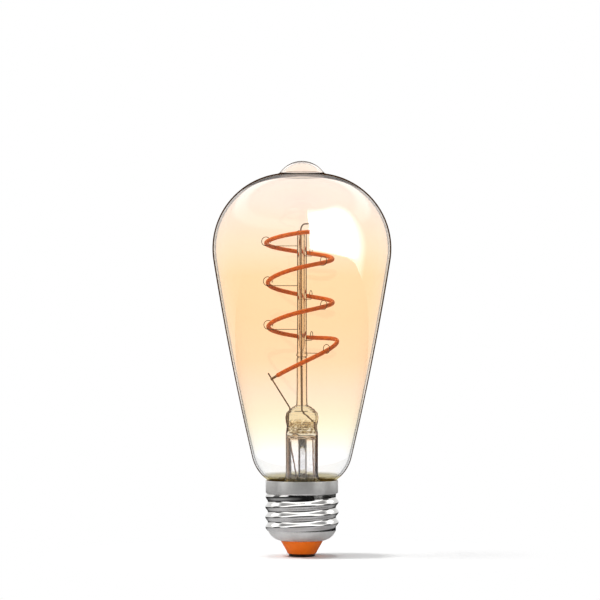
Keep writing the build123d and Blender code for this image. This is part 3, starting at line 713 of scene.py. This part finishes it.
# hook wires, mm, degrees and turns of the coil
wireNote = {
    "hook": 0.13,
    "ring": 1.6,
    "sweep": 290,
    "steps": 26,
    "root": 0.6,
    "turns": (0.25, 0.551, 0.875),
    "rows": 3,
    "touch": 0.05,
}
verts, faces = [], []
for row in range(wireNote["rows"]):
    for turn in wireNote["turns"]:
        at = coilPoint(row + turn)
        outward = Vector((at.x, at.y, 0))
        reach = outward.length
        outward.normalize()
        lift = wireNote["ring"] - coilNote["coat"] - wireNote["hook"] - wireNote["touch"]
        centre = outward * reach + Vector((0, 0, at.z + lift))
        up = Vector((0, 0, 1))
        path = [
            outward * (stemNote["pillar"] - wireNote["root"]) + up * (centre.z - wireNote["ring"]),
            outward * (reach * 0.5) + up * (centre.z - wireNote["ring"]),
        ]
        for step in range(wireNote["steps"] + 1):
            angle = math.radians(-90 + wireNote["sweep"] * step / wireNote["steps"])
            path.append(centre + (outward * math.cos(angle) + up * math.sin(angle)) * wireNote["ring"])
        path, radii = roundEnds(path, wireNote["hook"])
        tubeRings(path, radii, 10, verts, faces)
hooks = addMesh("hookWires", verts, faces, nickelWire)
stand(hooks, "support_wires")
print("wires made")

# cap, mm and turns
capNote = {
    "crest": 13.1,
    "root": 12.15,
    "pitch": 3.629,
    "start": 10.4,
    "turns": 3.0,
    # the ridge runs on this many turns at each end, and dies away over the next value
    "runOut": 0.3,
    "fade": 0.34,
    "sheet": 0.3,
    "collar": 12.95,
    "top": 27.2,
    "collarFoot": 22.5,
    "edge": 0.55,
    "coneTop": 9.3,
    "coneFoot": (7.9, 5.7),
    "bulge": 0.7,
    "hole": 7.0,
}


def threadRise(angle, height):
    # how far the rolled ridge stands off the root, 0 to 1
    best = 0.0
    for turn in range(-1, 5):
        # the ridge starts on the left, at 180 degrees
        travelled = turn + ((angle - math.pi) % (2 * math.pi)) / (2 * math.pi)
        begun, left = travelled + capNote["runOut"], capNote["turns"] + capNote["runOut"] - travelled
        if begun < 0 or left < 0:
            continue
        fade = min(1.0, begun / capNote["fade"], left / capNote["fade"])
        centre = capNote["start"] + capNote["pitch"] * travelled
        away = (height - centre) / (capNote["pitch"] * 0.5)
        if abs(away) < 1:
            best = max(best, (0.5 + 0.5 * math.cos(math.pi * away)) * max(fade, 0.0))
    return best


def capSurface(inset, sides=180):
    # the sheet's outside (inset 0) or inside (inset = sheet), from the top edge down to the hole
    rows = []
    top = capNote["top"]
    edge = capNote["edge"]
    radius = capNote["collar"] - inset
    for back, drop in ((0.12, 0.0), (0.03, 0.02), (0.0, 0.08), (0.0, 0.2), (0.0, 1.6)):
        rows.append([(radius - back, top - drop)] * sides)
    rows.append([(radius, capNote["collarFoot"] + edge)] * sides)
    for step in range(1, 5):
        angle = math.pi / 2 * step / 4
        rows.append(
            [(radius - edge * (1 - math.cos(angle)), capNote["collarFoot"] + edge * (1 - math.sin(angle)))]
            * sides
        )
    rowCount = 74
    upper = capNote["collarFoot"] - inset - 0.02
    lower = capNote["coneTop"]
    for step in range(rowCount + 1):
        height = upper + (lower - upper) * step / rowCount
        row = []
        for side in range(sides):
            angle = 2 * math.pi * side / sides
            rise = threadRise(angle, height) * (capNote["crest"] - capNote["root"])
            row.append((capNote["root"] - inset + rise, height))
        rows.append(row)
    foot = capNote["coneFoot"]
    for step in range(1, 13):
        t = step / 12
        bulge = capNote["bulge"] * 4 * t * (1 - t)
        along = Vector((foot[0] - capNote["root"], foot[1] - capNote["coneTop"])).normalized()
        radius = capNote["root"] + (foot[0] - capNote["root"]) * t - along.y * bulge
        height = capNote["coneTop"] + (foot[1] - capNote["coneTop"]) * t + along.x * bulge
        rows.append([(radius + inset * along.y, height - inset * along.x)] * sides)
    rows.append([(capNote["hole"], foot[1] + inset)] * sides)
    return rows


def capSheet(material, sides=180):
    verts, faces = [], []
    loop = capSurface(0.0, sides) + capSurface(capNote["sheet"], sides)[::-1]
    for row in loop:
        for side, (radius, height) in enumerate(row):
            angle = 2 * math.pi * side / sides
            verts.append((radius * math.cos(angle) * mm, radius * math.sin(angle) * mm, height * mm))
    count = len(loop)
    for i in range(count):
        j = (i + 1) % count
        for side in range(sides):
            after = (side + 1) % sides
            faces.append((i * sides + side, j * sides + side, j * sides + after, i * sides + after))
    return addMesh("screwCap", verts, faces, material)


def platedSheet():
    material, tree, output = newMaterial("nickel-plated brass sheet, rolled and part polished")
    place = addNode(tree, "ShaderNodeTexCoord")
    parts = addNode(tree, "ShaderNodeSeparateXYZ", None, {"Vector": place.outputs["Object"]})
    # satin above the thread and below it, bright on the rolled part
    upper = mapRange(tree, parts.outputs["Z"], 22.3 * mm, 22.7 * mm)
    lower = mapRange(tree, parts.outputs["Z"], 9.6 * mm, 9.1 * mm)
    satin = maths(tree, "MAXIMUM", upper.outputs[0], lower.outputs[0])
    streaks = addNode(tree, "ShaderNodeMapping", {"Scale": (1, 1, 14)}, {"Vector": place.outputs["Object"]})
    brushed = noise(tree, streaks.outputs[0], 420.0, 6.0, 0.62)
    dull = noise(tree, place.outputs["Object"], 180.0, 5.0, 0.6)
    brightRough = mapRange(tree, dull.outputs["Fac"], 0.35, 0.75, 0.05, 0.13)
    satinRough = mapRange(tree, brushed.outputs["Fac"], 0.3, 0.7, 0.36, 0.46)
    rough = addNode(
        tree, "ShaderNodeMix", {"data_type": "FLOAT"},
        {"Factor": satin.outputs[0], 2: brightRough.outputs[0], 3: satinRough.outputs[0]},
    )
    tint = addRamp(tree, dull.outputs["Fac"], [(0.3, hexToLinear("cfcdca")), (0.6, hexToLinear("e2e1df"))])
    bump = relief(tree, brushed.outputs["Fac"], 0.12, 0.02 * mm)
    # the brushed zones are matt enough to show some plain lit grey
    plating = mapRange(tree, satin.outputs[0], 0.0, 1.0, 1.0, 0.74)
    surface = addNode(
        tree, "ShaderNodeBsdfPrincipled", None,
        {
            "Base Color": tint.outputs[0], "Metallic": plating.outputs[0], "Roughness": rough.outputs[0],
            "Normal": bump.outputs[0],
        },
    )
    tree.links.new(surface.outputs[0], output.inputs["Surface"])
    return material


# mirror bright on the rolled thread, softly brushed on the collar and the coned end
capMaterial = platedSheet()
cap = capSheet(capMaterial)
stand(cap, "cap_shell")

# orange insulator
orangeGlass = moulded(
    "moulded orange insulator, semi-gloss", "ea6f0a", "dd6406", 0.5, 4.0, 0.02,
    {"IOR": 1.5, "Specular IOR Level": 0.25},
)
insulatorProfile = [
    (1.5, 1.0), (4.9, 1.0), (5.03, 1.1), (5.12, 1.25), (7.42, 5.35), (7.45, 5.55), (7.4, 5.69),
    (7.0, 5.7), (7.0, 6.0),
    (7.5, 6.0), (7.5, 7.3), (7.4, 7.4), (5.1, 7.4), (5.0, 7.3), (5.0, 3.6), (4.9, 3.5), (1.5, 3.5),
]
insulator = lathe("capInsulator", insulatorProfile, 96, orangeGlass)
stand(insulator, "cap_insulator")

# contact disc with its rivet, pressed a little domed
# painted shade: the disc is coloured dark brown for the shade it sits in under the bulb
contactMetal = metal("plated contact disc, darkened as painted shade", "4a3c30", 0.38, 1.1, 0.02, low="2a211a")
contactProfile = [
    (0.0, 0.0), (3.9, 0.0), (4.3, 0.06), (4.58, 0.2), (4.7, 0.42), (4.7, 0.92), (4.6, 1.0), (1.5, 1.0),
    (1.5, 3.5), (2.35, 3.5),
    (2.4, 3.6), (2.25, 3.85), (1.7, 4.0), (0.31, 4.0), (0.31, 1.6), (0.0, 1.6),
]
contact = lathe("contactDisc", contactProfile, 72, contactMetal)
stand(contact, "centre_contact")
print("cap made")


def cover(material, *nodes):
    # puts the one material in every slot of these kept CAD nodes
    for node in nodes:
        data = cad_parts[node].data
        for index in range(len(data.materials)):
            data.materials[index] = material
        if not data.materials:
            data.materials.append(material)


cover(nickelWire, "upper_lead", "lower_lead", "lead_anchor", "filament_terminals")
cover(copperWire, "seal_wires", "outer_leads", "contact_lead", "shell_lead")
# warm metal with faint roll lines under the jacket
cover(metal("copper strip, rolled and gilt", "c98a55", 0.3, 0.3, 0.005, low="a86a3c"), "filament_strip")
# pale, slightly glassy blocks
cover(moulded("chip on sapphire, diced", "d3d8b0", "b9bf92", 0.22, 0.2, 0.004, {"IOR": 1.77}), "led_chips")
# dry, gritty and light brown
cover(
    moulded("phenolic cement with marble flour, baked", "b9a17c", "8f7a58", 0.85, 1.2, 0.15),
    "cap_cement",
)
# thin milky sheet with a soft shine
cover(moulded("polyester film, rolled", "e4dfcf", "d2ccb8", 0.32, 6.0, 0.02, {"IOR": 1.6}), "driver_sleeve")
# dark green with the weave just showing
laminate = moulded("glass-cloth laminate, solder masked", "1e6a3c", "16522c", 0.4, 0.8, 0.02)
cover(laminate, "driver_board", "radio_board")
# matt black with mould grain
cover(
    moulded("filled epoxy, transfer moulded", "2a2a2d", "1b1b1d", 0.6, 0.5, 0.02), "bridge_rectifier",
    "driver_controller",
)
# smooth navy film drawn tight
cover(moulded("vinyl film, shrunk on the can", "27335f", "1e284c", 0.35, 3.0, 0.02), "bulk_capacitor")
# pale green, slightly lumpy coat
cover(moulded("flameproof cement coat, dipped", "7e9c84", "678469", 0.7, 0.9, 0.06), "fusible_resistor")
# charcoal, faintly sparkling
cover(
    moulded("ferrite, pressed and sintered", "3b3a3c", "2c2b2d", 0.5, 0.4, 0.02, {"IOR": 2.2}),
    "inductor_core",
)
# deep copper red under clear lacquer
cover(
    metal("copper wire, enamelled and wound", "b8632e", 0.25, 0.25, 0.02, low="8c431b"),
    "inductor_winding",
)
# bright yellow flash over copper
cover(metal("copper trace, etched and gilt", "d8ad58", 0.3, 0.3, 0.004, low="b98a38"), "radio_antenna")
# dull silver with drawing marks
cover(metal("tinned steel, stamped", "b9bab6", 0.35, 0.8, 0.01, (1, 8, 1), low="9a9b97"), "radio_shield")
# bright where it wetted, frosty where it set
cover(metal("tin solder, set", "c9cbcc", 0.28, 0.35, 0.02, low="9fa2a4"), "solder_joints")
print("kept nodes finished")

# floor, mm: "fade" is where it runs into the white room, "dark" the reach of its darker mirror image
stageNote = {"radius": 450.0, "sides": 96, "drop": 0.02, "dark": 220, "fade": (42, 95)}
studioWhite, studioTree, studioOut = newMaterial("painted studio floor")
lookingAt = addNode(studioTree, "ShaderNodeLightPath")
mirrored = addNode(
    studioTree, "ShaderNodeMath", {"operation": "SUBTRACT", "use_clamp": True},
    {0: lookingAt.outputs["Is Glossy Ray"], 1: lookingAt.outputs["Is Transmission Ray"]},
)
spot = addNode(studioTree, "ShaderNodeTexCoord")
reach = addNode(studioTree, "ShaderNodeVectorMath", {"operation": "LENGTH"}, {0: spot.outputs["Object"]})
farther = mapRange(studioTree, reach.outputs["Value"], 0.0, stageNote["dark"] * mm)
# painted reflection: seen only in reflections, the floor goes from grey near the bulb to black farther out,
# so the cap's metal mirrors dark bands
paintedReflectionGreys = addRamp(
    studioTree, farther.outputs[0],
    [
        (0.0, (0.6, 0.6, 0.62, 1)), (0.12, (0.5, 0.5, 0.51, 1)), (0.24, (0.12, 0.12, 0.12, 1)),
        (0.4, (0.01, 0.01, 0.01, 1)),
    ],
)
paint = addNode(studioTree, "ShaderNodeMix", {"data_type": "RGBA"}, {0: mirrored.outputs[0]})
paint.inputs[6].default_value = (0.94, 0.94, 0.94, 1.0)
studioTree.links.new(paintedReflectionGreys.outputs[0], paint.inputs[7])
painted = addNode(studioTree, "ShaderNodeBsdfDiffuse", None, {"Color": paint.outputs[2]})
# far from the bulb the floor runs into the white room without an edge
fading = addNode(
    studioTree, "ShaderNodeMapRange",
    {
        "From Min": stageNote["fade"][0] * mm, "From Max": stageNote["fade"][1] * mm,
        "interpolation_type": "SMOOTHSTEP",
    },
    {"Value": reach.outputs["Value"]},
)
away = addNode(
    studioTree, "ShaderNodeMath", {"operation": "SUBTRACT", "use_clamp": True},
    {0: fading.outputs[0], 1: mirrored.outputs[0]},
)
whiteOut = addNode(studioTree, "ShaderNodeEmission", {"Color": (1, 1, 1, 1), "Strength": 1.0})
floorShader = mixShaders(studioTree, away.outputs[0], painted.outputs[0], whiteOut.outputs[0])
studioTree.links.new(floorShader.outputs[0], studioOut.inputs["Surface"])
floorVerts = [
    (
        stageNote["radius"] * mm * math.cos(2 * math.pi * k / stageNote["sides"]),
        stageNote["radius"] * mm * math.sin(2 * math.pi * k / stageNote["sides"]),
        -stageNote["drop"] * mm,
    )
    for k in range(stageNote["sides"])
]
floor = addMesh("floor", floorVerts, [tuple(range(stageNote["sides"]))], studioWhite, smooth=False)

# What the room gives each kind of ray: white for the lens, less for lit surfaces, a studio for reflections.
# A ray that has gone through more glass surfaces than "surfaces" gets what "through" gives, mirrored or not.
roomNote = {"seen": 1.0, "through": 1.17, "lighting": 0.34, "mirrored": 1.7, "surfaces": 2.5}
world = bpy.data.worlds.new("studio")
bpy.context.scene.world = world
world.use_nodes = True
sky = world.node_tree
sky.nodes.clear()
skyOut = sky.nodes.new("ShaderNodeOutputWorld")
path = addNode(sky, "ShaderNodeLightPath")
direction = addNode(sky, "ShaderNodeTexCoord")
axes = addNode(sky, "ShaderNodeSeparateXYZ", None, {"Vector": direction.outputs["Generated"]})
backward = mapRange(sky, axes.outputs["Y"], -1.0, 1.0)


def greys(stops):
    # ramp stops that come out at these greys once the room's strength multiplies them
    return [(place, (value / roomNote["mirrored"],) * 3 + (1,)) for place, value in stops]


# dark behind the lens, with cloth walls at the sides that only metal mirrors: glass has its own wall below
sidesForGlass = addRamp(
    sky, backward.outputs[0], greys([(0.0, 0.02), (0.48, 0.03), (0.62, 0.25), (0.78, 0.6)]),
)
sidesForMetal = addRamp(
    sky, backward.outputs[0],
    greys(
        [
            (0.0, 0.0), (0.12, 0.0), (0.17, 1.3), (0.34, 1.5), (0.39, 0.15), (0.58, 0.15), (0.66, 1.2),
            (0.85, 0.9),
        ],
    ),
)
around = addNode(sky, "ShaderNodeMix", {"data_type": "RGBA"}, {0: path.outputs["Is Singular Ray"]})
sky.links.new(sidesForMetal.outputs[0], around.inputs[6])
sky.links.new(sidesForGlass.outputs[0], around.inputs[7])
above = addRamp(
    sky, mapRange(sky, axes.outputs["Z"], 0.0, 1.0).outputs[0],
    greys([(0.0, 0.0), (0.42, 0.0), (0.5, 1.1), (0.62, 1.1), (0.7, 0.08), (0.86, 0.4), (1.0, 0.4)]),
)
bothWays = addNode(sky, "ShaderNodeMix", {"data_type": "RGBA", "blend_type": "ADD", "Factor": 1.0})
sky.links.new(around.outputs[2], bothWays.inputs[6])
sky.links.new(above.outputs[0], bothWays.inputs[7])
room = addNode(
    sky, "ShaderNodeBackground", {"Strength": roomNote["mirrored"]}, {"Color": bothWays.outputs[2]},
)
plain = addNode(sky, "ShaderNodeBackground", {"Strength": roomNote["seen"], "Color": (1, 1, 1, 1)})
fresh = mapRange(sky, path.outputs["Diffuse Depth"], 0.0, 1.0, roomNote["through"], 0.0)
behind = addNode(sky, "ShaderNodeBackground", {"Color": (1, 1, 1, 1)}, {"Strength": fresh.outputs[0]})
lighting = addNode(sky, "ShaderNodeBackground", {"Strength": roomNote["lighting"], "Color": (1, 1, 1, 1)})
view = plain
for kind, shown in (("Is Diffuse Ray", lighting), ("Is Glossy Ray", room), ("Is Transmission Ray", behind)):
    # a ray that has just gone through glass counts as glossy too, so that mix comes last
    view = mixShaders(sky, path.outputs[kind], view.outputs[0], shown.outputs[0])
# light turned back inside the stem's glass stays bright: it has gone through three surfaces or more by then
deep = addNode(
    sky, "ShaderNodeMath", {"operation": "GREATER_THAN", 1: roomNote["surfaces"]},
    {0: path.outputs["Transmission Depth"]},
)
view = mixShaders(sky, deep.outputs[0], view.outputs[0], behind.outputs[0])
sky.links.new(view.outputs[0], skyOut.inputs["Surface"])


def panel(name, place, target, width, height, power):
    # rectangular softbox aimed at the target, mm; it lights but isn't mirrored
    light = bpy.data.lights.new(name, "AREA")
    light.shape = "RECTANGLE"
    light.size, light.size_y = width * mm, height * mm
    light.energy = power
    lamp = bpy.data.objects.new(name, light)
    lamp.location = Vector(place) * mm
    lamp.rotation_euler = (Vector(target) - Vector(place)).to_track_quat("-Z", "Y").to_euler()
    lamp.visible_camera = False
    lamp.visible_transmission = False
    lamp.visible_glossy = False
    bpy.context.scene.collection.objects.link(lamp)


# overhead key, a little to the left, that throws the short shadow to the right
panel("key", (-560, -60, 840), (0, 0, 0), 200, 200, 5.3)
# straight overhead, for the shade right under the cap
panel("top", (0, 0, 900), (0, 0, 0), 160, 160, 2.6)
# low fill from the lens side that brings up the orange parts
panel("fill", (-200, -900, 260), (0, 0, 60), 320, 320, 2.2)

# Curved white wall whose reflection lies on the right of the globe; edges fade.
wallNote = {
    "azimuth": (9, 91),
    "foot": (-3.5, -19),
    "top": 60,
    "radius": 600,
    "centre": 110,
    "strength": 26.0,
    "fades": {"left": 0.02, "right": 0.35, "upper": 0.22, "lower": 0.06},
}


def glowWall(note, columns=40, rows=30):
    verts, faces, glow = [], [], []
    for i in range(columns + 1):
        u = i / columns
        azimuth = math.radians(note["azimuth"][0] + (note["azimuth"][1] - note["azimuth"][0]) * u)
        foot = note["foot"][0] + (note["foot"][1] - note["foot"][0]) * u
        for j in range(rows + 1):
            v = j / rows
            lift = math.radians(foot + (note["top"] - foot) * v)
            flat = note["radius"] * math.cos(lift)
            verts.append(
                (
                    flat * math.sin(azimuth) * mm,
                    -flat * math.cos(azimuth) * mm,
                    (note["centre"] + note["radius"] * math.sin(lift)) * mm,
                )
            )
            left = min(1.0, u / note["fades"]["left"])
            right = min(1.0, (1 - u) / note["fades"]["right"])
            upper = min(1.0, (1 - v) / note["fades"]["upper"])
            lower = min(1.0, v / note["fades"]["lower"])
            glow.append(left * right**1.5 * upper**1.5 * lower)
    for i in range(columns):
        for j in range(rows):
            a = i * (rows + 1) + j
            faces.append((a, a + rows + 1, a + rows + 2, a + 1))
    material, tree, output = newMaterial("lit cloth wall")
    amount = addNode(tree, "ShaderNodeAttribute", {"attribute_name": "glow"})
    strength = addNode(
        tree, "ShaderNodeMath", {"operation": "MULTIPLY", 1: note["strength"]}, {0: amount.outputs["Fac"]}
    )
    emit = addNode(tree, "ShaderNodeEmission", {"Color": (1, 1, 1, 1)}, {"Strength": strength.outputs[0]})
    # only clear glass mirrors it: rays off the cap's metal pass through
    path = addNode(tree, "ShaderNodeLightPath")
    gap = addNode(tree, "ShaderNodeBsdfTransparent")
    shown = mixShaders(tree, path.outputs["Is Singular Ray"], gap.outputs[0], emit.outputs[0])
    tree.links.new(shown.outputs[0], output.inputs["Surface"])
    wall = addMesh("glowWall", verts, faces, material)
    attribute = wall.data.attributes.new("glow", "FLOAT", "POINT")
    attribute.data.foreach_set("value", glow)
    wall.visible_camera = False
    wall.visible_diffuse = False
    wall.visible_transmission = False
    wall.visible_shadow = False
    return wall


glassOnly = bpy.data.collections.new("globe lights")
glassOnly.objects.link(envelope)
wall = glowWall(wallNote)
wall.light_linking.receiver_collection = glassOnly

# level lens well back from the bulb; place in metres, lens and sensor in mm
cameraNote = {"lens": 199.5, "sensor": 36, "place": (-0.00068, -1.1887, 0.0916)}
camera = bpy.data.cameras.new("camera")
camera.lens = cameraNote["lens"]
camera.sensor_width = cameraNote["sensor"]
camera.dof.use_dof = False
cameraObject = bpy.data.objects.new("camera", camera)
cameraObject.location = cameraNote["place"]
cameraObject.rotation_euler = (math.radians(90), 0, 0)
bpy.context.scene.collection.objects.link(cameraObject)
bpy.context.scene.camera = cameraObject
bpy.context.scene.view_settings.view_transform = "Standard"
print("stage made")
